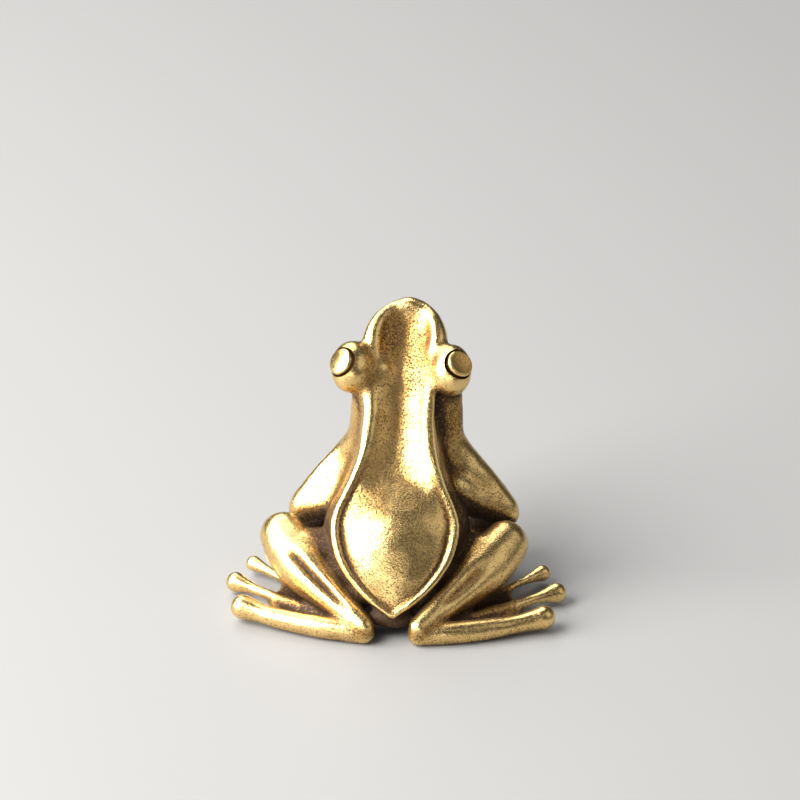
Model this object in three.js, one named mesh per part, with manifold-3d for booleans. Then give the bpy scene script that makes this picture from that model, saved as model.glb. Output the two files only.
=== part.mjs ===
// A seated brass frog that looks up: a body with its head, two set eyes, two forelegs, two folded
// hind legs and two hind feet. Each limb has a round peg that seats in the piece it joins.
// Millimetres, +Z up. The frog faces +Y, its right side is +X, and it stands on the plane z = 0.
import * as THREE from "three";
import { mergeVertices } from "three/addons/utils/BufferGeometryUtils.js";
import Module from "manifold-3d";

const wasm = await Module();
wasm.setup();

// Body and head, measured along and across the ridged back
const backLength = 22.8; // rump point to the line of the eyes
const backTilt = 54; // degrees above the table
const headLength = 7.3; // line of the eyes to the tip of the snout
const headTilt = 42;
const rumpHeight = 2.2; // the rump point above the table
const rumpBack = 11.1; // the rump point behind the frog's middle
const rumpDrop = 0.8; // the rump closes this far below the fold
const snoutDrop = 1.0; // the snout closes this far below the fold
const foldHalfWidth = 0.6; // the rounded fold that borders the back
const foldHeight = 0.32;
const rimHalfWidth = 0.85; // the fold where it runs round the snout
const shieldHalfWidth = 5.1; // middle of the fold at its widest, over the hips
const neckHalfWidth = 2.45;
const snoutHalfWidth = 2.85;
const domeHeight = 1.4; // the swell of the lower back, above the fold
const foldGroove = 0.16; // the hollow line between swell and fold
const neckTrough = 1.05;
const snoutDish = 1.25;
const bellyHalfWidth = 6.8;
const bellyDepth = 10.0;
const neckDepth = 6.5;
const jawDepth = 4.6;
const cheekHalfWidth = 3.8;
const mouthCorner = 0.79; // share of the way from rump to snout where the mouth ends
const mouthRadius = 0.2;

// Eyes
const lidRadius = 1.93;
const lidLength = 2.4; // half the lid's length, along the head
const eyeSpread = 4.4; // eye to the middle of the head
const eyeSink = 0.7; // middle of the eye below the fold
const eyeOutward = 40; // degrees from the crown towards the side
const eyeForward = 5; // degrees towards the snout
const eyeRadius = 1.24;
const eyeStand = 0.3; // how far the eye stands out of its lid
const eyeDepth = 0.8; // thickness of the eye, from its rim to its seat
const eyeDish = 0.1;
const eyeStemRadius = 0.55;
const eyeStemLength = 1.0;

// Forelegs
const shoulderAt = 0.72; // share of the way from rump to snout
const shoulderSink = 2.4; // below the fold
const armPegAt = 0.3; // share of the way from shoulder to hand
const elbow = { out: 9.1, forward: 2.4, up: 6.2 };
const breast = { out: 4.4, forward: 1.0, up: 9.2 }; // where the flesh from the elbow meets the flank
const wrist = { out: 5.4, forward: 6.0, up: 1.7 };
const armFace = { out: 0, forward: 1, up: 0.4 }; // the front of the arm
const shoulderRadius = 1.8;
const upperArmRadius = 2.1;
const elbowRadius = 1.36;
const breastRadius = 1.9;
const forearmRadius = 1.7;
const wristRadius = 0.95;
const palmReach = 1.3; // wrist to the knuckles
const fingerAngles = [-62, -30, 4, 38]; // degrees outward from straight ahead
const fingerLength = 2.25;
const fingerRadius = 0.42;
const fingerTipRadius = 0.6;

// Hind legs, each folded into one drop with a groove between thigh and shank
const kneeSpread = 3.2; // middle of the knee outside the belly
const kneeForward = -1.6;
const kneeHeight = 5.3;
const ankle = { out: 2.4, forward: -11.1, up: 1.6 };
const legHalfWidth = 2.42;
const legHalfThickness = 2.2;
const legBow = 0.3; // how far the thigh swells outward
const ankleRadius = 0.95;
const haunchRadius = { upper: 2.2, middle: 1.8, lower: 1.2 }; // swells that join the leg to the body
const haunchAt = { upper: 0.16, middle: 0.42, lower: 0.66 }; // share of the way from knee to ankle
const haunchInset = 1.1; // their start, inside the middle of the leg
const legGroove = 0.55;
const legGrooveAngle = 8; // half the groove's width, in degrees round the leg
const legFace = { out: 0.75, forward: -0.31, up: -0.58 }; // from thigh towards shank

// Hind feet, each with three toes, the near one at the back
const toeReach = { near: 11.4, middle: 14.4, far: 15.7 };
const toeRadius = { near: 1.0, middle: 0.6, far: 0.48 };
const toeTipRadius = { near: 1.12, middle: 0.95, far: 0.8 };
const toeRootRadius = { near: 1.0, middle: 0.7, far: 0.6 };
const toeRootShare = { near: 0, middle: 0.15, far: 0.15 }; // share of the reach where a toe starts
const toeAngle = { near: 15.5, middle: 33.2, far: 47 }; // degrees forward of straight out
const toeCurlAngle = { near: 8, middle: -3, far: -6 }; // degrees that a toe turns from heel to tip
const toeHeight = 0.95; // middle of a toe above the table
const toeTipLift = { near: 0.45, middle: 0.25, far: 0.2 };
const webShare = 0.76; // share of the toes that the web joins
const webNotch = 0.04; // how far the web's edge draws back between two toes
const webThickness = 1.0;

// Pegs and the gaps between pieces
const seamGap = 0.3;
const pegClearance = 0.25;
const armPegRadius = 0.8;
const hipPegRadius = 0.9;
const pegDepth = 1.7; // how deep a peg goes into the body
const anklePegRadius = 0.5;
const anklePegFoot = 0.25; // foot of the ankle peg above the table

const sideways = new THREE.Vector3(1, 0, 0);
const upward = new THREE.Vector3(0, 0, 1);

const radians = THREE.MathUtils.degToRad;
const point = (x, y, z) => new THREE.Vector3(x, y, z);
const placed = (at) => point(at.out, at.forward, at.up);

// A smooth function through [position, value] pairs.
function profile(pairs) {
  const curve = new THREE.CubicInterpolant(
    pairs.map((pair) => pair[0]),
    pairs.map((pair) => pair[1]),
    1,
  );
  return (at) => curve.evaluate(at)[0];
}

// A closed geometry as a solid that can be joined and cut.
function solidOf(geometry) {
  const bare = new THREE.BufferGeometry();
  bare.setAttribute("position", geometry.getAttribute("position"));
  bare.setIndex(geometry.getIndex());
  const merged = mergeVertices(bare, 1e-5);
  return new wasm.Manifold(
    new wasm.Mesh({
      numProp: 3,
      vertProperties: new Float32Array(merged.attributes.position.array),
      triVerts: new Uint32Array(merged.index.array),
    }),
  );
}

function geometryOf(solid) {
  const mesh = solid.getMesh();
  const geometry = new THREE.BufferGeometry();
  geometry.setAttribute("position", new THREE.BufferAttribute(mesh.vertProperties, mesh.numProp));
  geometry.setIndex(new THREE.BufferAttribute(mesh.triVerts, 1));
  geometry.computeVertexNormals();
  return geometry;
}

const through = (points) => new THREE.CatmullRomCurve3(points, false, "centripetal");
const joined = (solids) => solids.reduce((sum, next) => sum.add(next));

// A closed skin over rings of points, each ring running anticlockwise seen from the last one.
function loft(rings, first, last) {
  const count = rings[0].length;
  const points = [...rings.flat(), first, last];
  const firstIndex = points.length - 2;
  const lastIndex = points.length - 1;
  const lastRing = (rings.length - 1) * count;
  const faces = [];
  for (let j = 0; j < count; j++) {
    const k = (j + 1) % count;
    faces.push(firstIndex, k, j);
    for (let i = 0; i < lastRing; i += count) {
      const [a, b, c, d] = [i + j, i + k, i + count + k, i + count + j];
      const split = points[a].distanceTo(points[c]) < points[b].distanceTo(points[d]);
      faces.push(...(split ? [a, b, c, a, c, d] : [a, b, d, b, c, d]));
    }
    faces.push(lastIndex, lastRing + j, lastRing + k);
  }
  const geometry = new THREE.BufferGeometry().setFromPoints(points);
  geometry.setIndex(faces);
  return solidOf(geometry);
}

// A rounded limb along a path. At share t of the path, width(t) and thickness(t) are its half
// sizes along the face direction and across it, and groove(t, turn) is the depth of a groove along
// its upper side, at an angle from the middle of that side. Its ends are round.
function limb({ curve, width, thickness = width, face, groove, steps, sides, capSteps, grow = 0 }) {
  const frameAt = (t) => {
    const along = curve.getTangentAt(t);
    const across = face.clone().addScaledVector(along, -face.dot(along)).normalize();
    return { along, across, out: along.clone().cross(across) };
  };
  const overhang = (t) => Math.min(width(t), thickness(t)) + grow;
  const ring = (t, angle) => {
    const { along, across, out } = frameAt(t);
    const centre = curve.getPointAt(t).addScaledVector(along, overhang(t) * Math.sin(angle));
    const shrink = Math.cos(angle);
    return Array.from({ length: sides }, (_, j) => {
      const turn = (2 * Math.PI * j) / sides;
      const cut = groove ? groove(t, turn - Math.PI / 2) : 0;
      return centre
        .clone()
        .addScaledVector(across, Math.cos(turn) * (width(t) + grow) * shrink)
        .addScaledVector(out, (Math.sin(turn) * (thickness(t) + grow) - cut) * shrink);
    });
  };
  const capAngle = (i) => (i * Math.PI) / 2 / (capSteps + 1);
  const rings = [];
  for (let i = capSteps; i >= 1; i--) rings.push(ring(0, -capAngle(i)));
  for (let i = 0; i <= steps; i++) rings.push(ring(i / steps, 0));
  for (let i = 1; i <= capSteps; i++) rings.push(ring(1, capAngle(i)));
  const first = curve.getPointAt(0).addScaledVector(frameAt(0).along, -overhang(0));
  const last = curve.getPointAt(1).addScaledVector(frameAt(1).along, overhang(1));
  return loft(rings, first, last);
}

// A round peg from one point to another, made larger by grow on its side and far end.
function peg(from, to, radius, grow = 0) {
  const sides = 12;
  const along = to.clone().sub(from);
  const length = along.length() + grow;
  const cylinder = new THREE.CylinderGeometry(radius + grow, radius + grow, length, sides);
  const axis = along.normalize();
  const turn = new THREE.Quaternion().setFromUnitVectors(point(0, 1, 0), axis);
  const middle = from.clone().addScaledVector(axis, length / 2);
  return solidOf(cylinder.applyQuaternion(turn).translate(middle.x, middle.y, middle.z));
}

// A block below the table top, wider than the whole frog, to trim soles flat.
function tableBlock() {
  const side = 4 * backLength;
  return solidOf(new THREE.BoxGeometry(side, side, backLength).translate(0, 0, -backLength / 2));
}

// The line of the back, from the rump point over the eyes to the tip of the snout

const backStep = point(0, Math.cos(radians(backTilt)), Math.sin(radians(backTilt)));
const headStep = point(0, Math.cos(radians(headTilt)), Math.sin(radians(headTilt)));
const rumpPoint = point(0, -rumpBack, rumpHeight);
const eyeLine = rumpPoint.clone().addScaledVector(backStep, backLength);
const snoutTip = eyeLine.clone().addScaledVector(headStep, headLength);
const backLine = through([
  rumpPoint,
  rumpPoint.clone().lerp(eyeLine, 0.33),
  rumpPoint.clone().lerp(eyeLine, 0.7),
  eyeLine,
  snoutTip,
]);
const eyeShare = backLength / (backLength + headLength);

function backFrame(share) {
  const along = backLine.getTangentAt(share);
  return { at: backLine.getPointAt(share), along, dorsal: sideways.clone().cross(along) };
}

// Body section sizes, by share of the way from rump to snout
const ridgeHalfWidth = profile([
  [0, 0],
  [0.03, 0.21 * shieldHalfWidth],
  [0.1, 0.59 * shieldHalfWidth],
  [0.17, 0.87 * shieldHalfWidth],
  [0.25, 1.01 * shieldHalfWidth],
  [0.31, shieldHalfWidth],
  [0.41, 0.75 * shieldHalfWidth],
  [0.49, 1.22 * neckHalfWidth],
  [0.6, neckHalfWidth],
  [0.68, 1.04 * neckHalfWidth],
  [0.76, 0.95 * snoutHalfWidth],
  [0.85, snoutHalfWidth],
  [0.93, 0.95 * snoutHalfWidth],
  [1, 0.72 * snoutHalfWidth],
]);
const crownHeight = profile([
  [0, 0],
  [0.06, 0.21 * domeHeight],
  [0.14, 0.75 * domeHeight],
  [0.22, domeHeight],
  [0.3, 0.89 * domeHeight],
  [0.37, 0.21 * domeHeight],
  [0.43, -0.48 * neckTrough],
  [0.6, -neckTrough],
  [0.71, -0.67 * neckTrough],
  [0.77, -0.57 * neckTrough],
  [0.85, -snoutDish],
  [0.9, -0.88 * snoutDish],
  [0.94, -0.2 * snoutDish],
  [0.97, 0.26 * snoutDish],
  [1, 0.48 * snoutDish],
]);
const grooveDepth = profile([
  [0, 0.5 * foldGroove],
  [0.08, foldGroove],
  [0.32, foldGroove],
  [0.45, 0.4 * foldGroove],
  [0.6, 0],
  [1, 0],
]);
const foldReach = profile([
  [0, foldHalfWidth],
  [0.45, foldHalfWidth],
  [0.6, 1.15 * foldHalfWidth],
  [0.7, 1.15 * foldHalfWidth],
  [0.8, rimHalfWidth],
  [1, rimHalfWidth],
]);
const foldRise = profile([
  [0, foldHeight],
  [0.45, foldHeight],
  [0.56, 1.05 * foldHeight],
  [0.64, 0.6 * foldHeight],
  [0.71, 0],
  [0.78, 0],
  [0.84, 0.9 * foldHeight],
  [1, 1.25 * foldHeight],
]);
const bodyDepth = profile([
  [0, 0.23 * bellyDepth],
  [0.1, 0.59 * bellyDepth],
  [0.22, 0.89 * bellyDepth],
  [0.36, bellyDepth],
  [0.5, 0.85 * bellyDepth],
  [0.62, neckDepth],
  [0.76, 0.5 * (neckDepth + jawDepth)],
  [0.88, jawDepth],
  [1, jawDepth],
]);
const flankHalfWidth = profile([
  [0, 0.12 * bellyHalfWidth],
  [0.1, 0.5 * bellyHalfWidth],
  [0.2, 0.81 * bellyHalfWidth],
  [0.28, bellyHalfWidth],
  [0.35, bellyHalfWidth],
  [0.42, 0.88 * bellyHalfWidth],
  [0.52, 0.66 * bellyHalfWidth],
  [0.62, 0.97 * cheekHalfWidth],
  [0.74, 0.92 * cheekHalfWidth],
  [0.84, cheekHalfWidth],
  [1, 0.88 * cheekHalfWidth],
]);

// How the section bends: the swell of the back gives way to the trough of the neck, the slope up to
// the fold shortens on the snout, and the fold's outer side spreads into the cheeks.
const swellShare = profile([
  [0, 1],
  [0.36, 1],
  [0.44, 0],
  [1, 0],
]);
const slopeShare = profile([
  [0, 1.2],
  [0.4, 1.2],
  [0.8, 0.85],
  [1, 0.85],
]);
const tuckShare = profile([
  [0, 0.3],
  [0.56, 0.3],
  [0.66, 0.2],
  [0.74, 0.9],
  [0.8, 1.15],
  [1, 1.15],
]);

// The ends of the body close in on a point below the fold, over these shares of its length.
const rumpRound = 0.03;
const snoutRound = 0.175;
function endRound(share) {
  const rump = Math.max(0, (rumpRound - share) / rumpRound);
  const snout = Math.max(0, (share - 1 + snoutRound) / snoutRound);
  const size = Math.sqrt(1 - Math.max(rump, snout) ** 2);
  return { size, drop: (share < 0.5 ? rumpDrop : snoutDrop) * (1 - size) };
}

// Half a section, from the middle of the back round to the middle of the belly.
function halfSection(share) {
  const ridge = ridgeHalfWidth(share);
  const crown = crownHeight(share);
  const depth = bodyDepth(share);
  const flank = flankHalfWidth(share);
  const fold = foldReach(share);
  const swell = swellShare(share);
  const inner = ridge ** 2 / (ridge + slopeShare(share) * fold);
  return [
    [0, crown],
    [0.4 * inner, (0.8 + 0.05 * swell) * crown],
    [0.72 * inner, (0.42 + 0.1 * swell) * crown],
    [0.93 * inner, (0.12 + 0.1 * swell) * crown],
    [inner, -grooveDepth(share)],
    [ridge - 0.2 * fold, 0.9 * foldRise(share)],
    [ridge + 0.35 * fold, 0.85 * foldRise(share)],
    [ridge + fold, -0.1 * fold],
    [ridge + tuckShare(share) * fold, -1.6 * fold],
    [0.96 * flank, -0.34 * depth],
    [flank, -0.56 * depth],
    [0.74 * flank, -0.86 * depth],
    [0, -depth],
  ];
}

// The whole section as evenly counted points, pushed out by grow.
const sectionSamples = 2; // points for each stretch between two section points
const lipSample = 9 * sectionSamples; // the section point on the lip
function bodySection(share, grow) {
  const half = halfSection(share);
  const mirrored = half.slice(1, -1).map(([x, z]) => [-x, z]);
  const outline = [...half, ...mirrored.reverse()].map(([x, z]) => point(x, z, 0));
  const curve = new THREE.CatmullRomCurve3(outline, true, "centripetal");
  const count = outline.length * sectionSamples;
  const { size, drop } = endRound(share);
  return Array.from({ length: count }, (_, j) => {
    const at = curve.getPoint(j / count);
    const along = curve.getTangent(j / count);
    return [at.x * size - along.y * grow, at.y * size - drop + along.x * grow];
  });
}

const bodyRings = 35;
const clearanceRings = 24;
function bodyLoft(grow, steps) {
  const crowding = 0.6; // how much closer the rings are near rump and snout
  const loops = [];
  for (let i = 1; i < steps; i++) {
    const even = i / steps;
    const share = even - (crowding * Math.sin(2 * Math.PI * even)) / (2 * Math.PI);
    const { at, dorsal } = backFrame(share);
    loops.push(
      bodySection(share, grow).map(([x, z]) =>
        at.clone().addScaledVector(sideways, x).addScaledVector(dorsal, z),
      ),
    );
  }
  const start = backFrame(0);
  const end = backFrame(1);
  const first = start.at.addScaledVector(start.dorsal, -rumpDrop).addScaledVector(start.along, -grow);
  const last = end.at.addScaledVector(end.dorsal, -snoutDrop).addScaledVector(end.along, grow);
  return loft(loops, first, last);
}

// The mouth: a fine line round the snout, from behind one eye to behind the other
function mouthLine() {
  const steps = 12;
  const onLip = (share, side) => {
    const { at, dorsal } = backFrame(share);
    const [x, z] = bodySection(share, 0)[lipSample];
    return at.addScaledVector(sideways, side * x).addScaledVector(dorsal, z);
  };
  const shares = Array.from(
    { length: steps },
    (_, i) => mouthCorner + (1 - mouthCorner) * Math.sin((i / steps) * (Math.PI / 2)),
  );
  const end = backFrame(1);
  return limb({
    curve: through([
      ...shares.map((share) => onLip(share, 1)),
      end.at.addScaledVector(end.dorsal, -snoutDrop),
      ...shares.reverse().map((share) => onLip(share, -1)),
    ]),
    width: () => mouthRadius,
    face: end.dorsal,
    steps: 24,
    sides: 6,
    capSteps: 1,
  });
}

// Eyes: a lid that swells from the head, and a dished button set in it

const eyeFrame = backFrame(eyeShare);
const eyeCentre = eyeLine
  .clone()
  .addScaledVector(sideways, eyeSpread)
  .addScaledVector(eyeFrame.dorsal, -eyeSink);
const eyeAxis = eyeFrame.dorsal
  .clone()
  .multiplyScalar(Math.cos(radians(eyeOutward)))
  .addScaledVector(sideways, Math.sin(radians(eyeOutward)))
  .addScaledVector(eyeFrame.along, Math.tan(radians(eyeForward)))
  .normalize();

function eyeLid(side, grow) {
  const lid = new THREE.SphereGeometry(1, 16, 12);
  lid.scale(lidRadius + grow, lidLength + grow, lidRadius + grow);
  const turn = new THREE.Quaternion().setFromUnitVectors(point(0, 1, 0), eyeFrame.along);
  lid.applyQuaternion(turn);
  return solidOf(lid.translate(side * eyeCentre.x, eyeCentre.y, eyeCentre.z));
}

// A turned profile of [radius, height] pairs, set on the eye's axis with height 0 at its middle.
function onEyeAxis(pairs, side) {
  const sides = 18;
  const turned = new THREE.LatheGeometry(
    pairs.map(([radius, height]) => new THREE.Vector2(radius, height)),
    sides,
  );
  const axis = point(side * eyeAxis.x, eyeAxis.y, eyeAxis.z);
  turned.applyQuaternion(new THREE.Quaternion().setFromUnitVectors(point(0, 1, 0), axis));
  return solidOf(turned.translate(side * eyeCentre.x, eyeCentre.y, eyeCentre.z));
}

// The eye's rim and the floor of its socket, measured from the middle of the lid
const eyeTop = Math.sqrt(lidRadius ** 2 - eyeRadius ** 2) + eyeStand;
const eyeSeat = eyeTop - eyeDepth;

function eyeButton() {
  const rim = 0.3 * eyeRadius;
  return onEyeAxis(
    [
      [0, eyeSeat - eyeStemLength],
      [eyeStemRadius, eyeSeat - eyeStemLength],
      [eyeStemRadius, eyeSeat],
      [eyeRadius, eyeSeat],
      [eyeRadius, eyeTop - rim],
      [eyeRadius - 0.3 * rim, eyeTop - 0.3 * rim],
      [eyeRadius - rim, eyeTop],
      [0.6 * eyeRadius, eyeTop - eyeDish],
      [0, eyeTop - 0.6 * eyeDish],
    ],
    1,
  );
}

function eyeSocket(side) {
  const mouth = eyeTop + lidRadius;
  return onEyeAxis(
    [
      [0, eyeSeat - eyeStemLength - pegClearance],
      [eyeStemRadius + pegClearance, eyeSeat - eyeStemLength - pegClearance],
      [eyeStemRadius + pegClearance, eyeSeat - pegClearance],
      [eyeRadius + pegClearance, eyeSeat - pegClearance],
      [eyeRadius + pegClearance, mouth],
      [0, mouth],
    ],
    side,
  );
}

const bodyBlank = (grow, rings) =>
  joined([bodyLoft(grow, rings), eyeLid(1, grow), eyeLid(-1, grow)]);

// Hind leg: thigh and shank folded together into one drop from knee to ankle

const knee = point(bellyHalfWidth + kneeSpread, kneeForward, kneeHeight);
const anklePoint = placed(ankle);

const legSide = placed(legFace).normalize();
const thigh = knee.clone().lerp(anklePoint, 0.3).addScaledVector(legSide, legBow);
const legLine = through([knee, thigh, anklePoint]);
const grooveDepthAlong = profile([
  [0, 0],
  [0.18, 0],
  [0.36, legGroove],
  [0.66, legGroove],
  [0.85, 0],
  [1, 0],
]);

// The haunches run straight in from the middle of the leg to the flank, and the peg beyond them.
const haunches = Object.keys(haunchAt);
const haunchRoot = (name) =>
  legLine.getPointAt(haunchAt[name]).addScaledVector(sideways, -haunchInset);
const haunchReach = 0.5 * bellyHalfWidth;
const hipRoot = haunchRoot("middle");
const hipEnd = hipRoot.clone().setX(haunchReach - 0.5 * pegDepth);

function hindLegBlank(grow = 0) {
  const drop = limb({
    curve: legLine,
    width: profile([
      [0, 0.87 * legHalfWidth],
      [0.12, 0.97 * legHalfWidth],
      [0.28, legHalfWidth],
      [0.45, 0.88 * legHalfWidth],
      [0.63, 0.71 * legHalfWidth],
      [0.78, 0.58 * legHalfWidth],
      [1, ankleRadius],
    ]),
    thickness: profile([
      [0, 0.93 * legHalfThickness],
      [0.3, legHalfThickness],
      [0.5, 0.89 * legHalfThickness],
      [0.75, 0.64 * legHalfThickness],
      [1, ankleRadius],
    ]),
    groove: (t, turn) => grooveDepthAlong(t) * Math.exp(-((turn / radians(legGrooveAngle)) ** 2)),
    face: legSide,
    steps: 14,
    sides: 24,
    capSteps: 4,
    grow,
  });
  const swells = haunches.map((name) => {
    const root = haunchRoot(name);
    const end = root.clone().setX(Math.min(haunchReach, root.x - haunchInset));
    return limb({
      curve: through([root, end]),
      width: () => haunchRadius[name],
      face: upward,
      steps: 1,
      sides: 12,
      capSteps: 2,
      grow,
    });
  });
  return joined([drop, ...swells]);
}

// Foreleg: upper arm from the shoulder out to the elbow, forearm in to the hand, and the flesh that
// joins the elbow to the flank

const shoulderFrame = backFrame(shoulderAt);
const flankAtShoulder = 0.88 * cheekHalfWidth;
const shoulder = shoulderFrame.at
  .clone()
  .addScaledVector(sideways, flankAtShoulder)
  .addScaledVector(shoulderFrame.dorsal, -shoulderSink);
const elbowPoint = placed(elbow);
const wristPoint = placed(wrist);
const handStep = point(wristPoint.x - elbowPoint.x, wristPoint.y - elbowPoint.y, 0).normalize();
const knuckles = wristPoint.clone().addScaledVector(handStep, palmReach).setZ(fingerTipRadius);

// The upper arm hangs straight down at first, then swings out: [share of the drop, share of the swing].
const armSwing = [
  [0.2, 0],
  [0.42, 0.02],
  [0.58, 0.23],
  [0.76, 0.58],
  [0.9, 0.86],
];
const upperArm = armSwing.map(([drop, swing]) =>
  shoulder
    .clone()
    .lerp(elbowPoint, drop)
    .setX(THREE.MathUtils.lerp(shoulder.x, elbowPoint.x, swing)),
);
const armLine = through([shoulder, ...upperArm, elbowPoint, wristPoint, knuckles]);

// The arm's peg runs straight in from the outer half of the upper arm.
const armPegRoot = armLine.getPointAt(armPegAt).addScaledVector(sideways, 0.4 * upperArmRadius);
const flankAtArm = 0.65 * bellyHalfWidth;
const armPegEnd = armPegRoot.clone().setX(flankAtArm - pegDepth);

function armLoft() {
  const radius = profile([
    [0, shoulderRadius],
    [0.11, 0.5 * (shoulderRadius + upperArmRadius)],
    [0.23, upperArmRadius],
    [0.34, 0.92 * upperArmRadius],
    [0.47, 0.48 * (upperArmRadius + elbowRadius)],
    [0.58, 1.04 * elbowRadius],
    [0.64, elbowRadius],
    [0.8, forearmRadius],
    [1, wristRadius],
  ]);
  return limb({
    curve: armLine,
    width: radius,
    face: placed(armFace).normalize(),
    steps: 18,
    sides: 12,
    capSteps: 3,
  });
}

function breastLoft() {
  const swell = profile([
    [0, elbowRadius],
    [0.5, 0.5 * (elbowRadius + breastRadius)],
    [1, breastRadius],
  ]);
  const curve = through([elbowPoint, placed(breast)]);
  return limb({ curve, width: swell, face: upward, steps: 2, sides: 12, capSteps: 2 });
}

function fingers() {
  const swell = profile([
    [0, fingerRadius],
    [0.6, fingerRadius],
    [1, fingerTipRadius],
  ]);
  return fingerAngles.map((angle) => {
    const step = point(Math.sin(radians(angle)), Math.cos(radians(angle)), 0);
    const tip = knuckles.clone().addScaledVector(step, fingerLength);
    const curve = through([knuckles, tip]);
    return limb({ curve, width: swell, face: upward, steps: 3, sides: 8, capSteps: 2 });
  });
}

// Hind foot: three long toes from the heel, joined by a web

const heel = point(anklePoint.x, anklePoint.y, toeHeight);
const toes = Object.keys(toeReach);

function toePoint(toe, share, height) {
  const turn = radians(toeAngle[toe] + toeCurlAngle[toe] * (share - 1));
  const step = point(Math.cos(turn), Math.sin(turn), 0);
  return heel.clone().addScaledVector(step, toeReach[toe] * share).setZ(height);
}

function toeLoft(toe) {
  const lift = (share) => toeHeight + toeTipLift[toe] * share ** 3;
  const root = toeRootShare[toe];
  return limb({
    curve: through(
      [0, 0.35, 0.7, 1]
        .map((part) => root + (1 - root) * part)
        .map((share) => toePoint(toe, share, lift(share))),
    ),
    width: profile([
      [0, toeRootRadius[toe]],
      [0.4, toeRadius[toe]],
      [0.82, 0.86 * toeRadius[toe]],
      [1, toeTipRadius[toe]],
    ]),
    face: upward,
    steps: 9,
    sides: 10,
    capSteps: 3,
  });
}

function webPlate() {
  const edge = toes.map((toe) => toePoint(toe, webShare, 0));
  const outline = new THREE.Shape().moveTo(heel.x, heel.y).lineTo(edge[0].x, edge[0].y);
  for (let i = 1; i < toes.length; i++) {
    const between = edge[i - 1].clone().add(edge[i]).multiplyScalar(0.5).lerp(heel, webNotch);
    outline.quadraticCurveTo(between.x, between.y, edge[i].x, edge[i].y);
  }
  const curveSegments = 4;
  const flat = { depth: webThickness, bevelEnabled: false, curveSegments };
  return solidOf(new THREE.ExtrudeGeometry(outline, flat));
}

// The ankle peg stands in the sole and ends in the middle of the ankle.
const ankleRoot = heel.clone().setZ(anklePegFoot);

// Pieces: each limb is cut back from what it joins, then given its peg

const below = tableBlock();
const bodyClear = bodyBlank(seamGap, clearanceRings);
const legClear = hindLegBlank(seamGap);

function hindLeg() {
  const seated = hindLegBlank().subtract(bodyClear);
  const pegged = seated.add(peg(hipRoot, hipEnd, hipPegRadius));
  return pegged.subtract(peg(ankleRoot, anklePoint, anklePegRadius, pegClearance));
}

function foreleg() {
  const whole = joined([armLoft(), breastLoft(), ...fingers()]).subtract(below);
  const seated = whole.subtract(bodyClear).subtract(legClear);
  return seated.add(peg(armPegRoot, armPegEnd, armPegRadius));
}

function hindFoot() {
  const whole = joined([webPlate(), ...toes.map(toeLoft)]).subtract(below);
  const seated = whole.subtract(legClear).subtract(bodyClear);
  return seated.add(peg(ankleRoot, anklePoint, anklePegRadius));
}

function body() {
  const mirrored = (at, side) => point(side * at.x, at.y, at.z);
  const socket = (from, to, radius, side) =>
    peg(mirrored(from, side), mirrored(to, side), radius, pegClearance);
  const cuts = [1, -1].flatMap((side) => [
    eyeSocket(side),
    socket(armPegRoot, armPegEnd, armPegRadius, side),
    socket(hipRoot, hipEnd, hipPegRadius, side),
  ]);
  const blank = bodyBlank(0, bodyRings);
  return [...cuts, mouthLine()].reduce((left, cut) => left.subtract(cut), blank);
}

// Aged brass, darker on the limbs than on the handled back
const brass = (color, roughness) =>
  new THREE.MeshStandardMaterial({ color, roughness, metalness: 1 });
const finishes = {
  body: brass(0xb08d45, 0.34),
  eye: brass(0xb9924a, 0.28),
  limb: brass(0xa88440, 0.36),
};

function piece(name, geometry, finish) {
  const mesh = new THREE.Mesh(geometry, finish);
  mesh.name = name;
  return mesh;
}

const frog = new THREE.Group();
frog.add(piece("body", geometryOf(body()), finishes.body));
const paired = {
  eye: [geometryOf(eyeButton()), finishes.eye],
  foreleg: [geometryOf(foreleg()), finishes.limb],
  hind_leg: [geometryOf(hindLeg()), finishes.limb],
  hind_foot: [geometryOf(hindFoot()), finishes.limb],
};
const rightSide = new THREE.Group();
const leftSide = new THREE.Group();
leftSide.scale.x = -1;
for (const [name, [geometry, finish]] of Object.entries(paired)) {
  rightSide.add(piece(`right_${name}`, geometry, finish));
  leftSide.add(piece(`left_${name}`, geometry, finish));
}
frog.add(rightSide, leftSide);

// The origin is under the middle of the whole frog, on the table.
const extent = new THREE.Box3().setFromObject(frog);
frog.position.y = -(extent.min.y + extent.max.y) / 2;

export default frog;
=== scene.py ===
import math

import bmesh
import bpy
import numpy as np
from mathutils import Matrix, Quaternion, Vector, noise
from mathutils.bvhtree import BVHTree
from mathutils.kdtree import KDTree


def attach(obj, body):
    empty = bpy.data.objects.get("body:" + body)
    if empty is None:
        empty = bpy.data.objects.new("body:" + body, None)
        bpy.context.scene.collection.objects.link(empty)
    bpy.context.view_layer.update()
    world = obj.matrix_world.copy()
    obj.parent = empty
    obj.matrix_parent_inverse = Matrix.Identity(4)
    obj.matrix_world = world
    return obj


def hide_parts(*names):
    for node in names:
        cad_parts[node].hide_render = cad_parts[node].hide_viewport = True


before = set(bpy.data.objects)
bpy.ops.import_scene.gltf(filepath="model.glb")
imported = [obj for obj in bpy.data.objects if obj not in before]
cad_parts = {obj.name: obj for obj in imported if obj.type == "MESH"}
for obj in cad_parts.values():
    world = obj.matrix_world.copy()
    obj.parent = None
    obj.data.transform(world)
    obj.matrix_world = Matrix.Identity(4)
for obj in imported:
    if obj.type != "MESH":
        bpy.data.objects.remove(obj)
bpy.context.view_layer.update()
mm = 0.001
frogShift = Vector((0, 1.147, 0))  # from the lines of the drawing to the middle of the frog
sides = {"right": 1, "left": -1}


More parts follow.
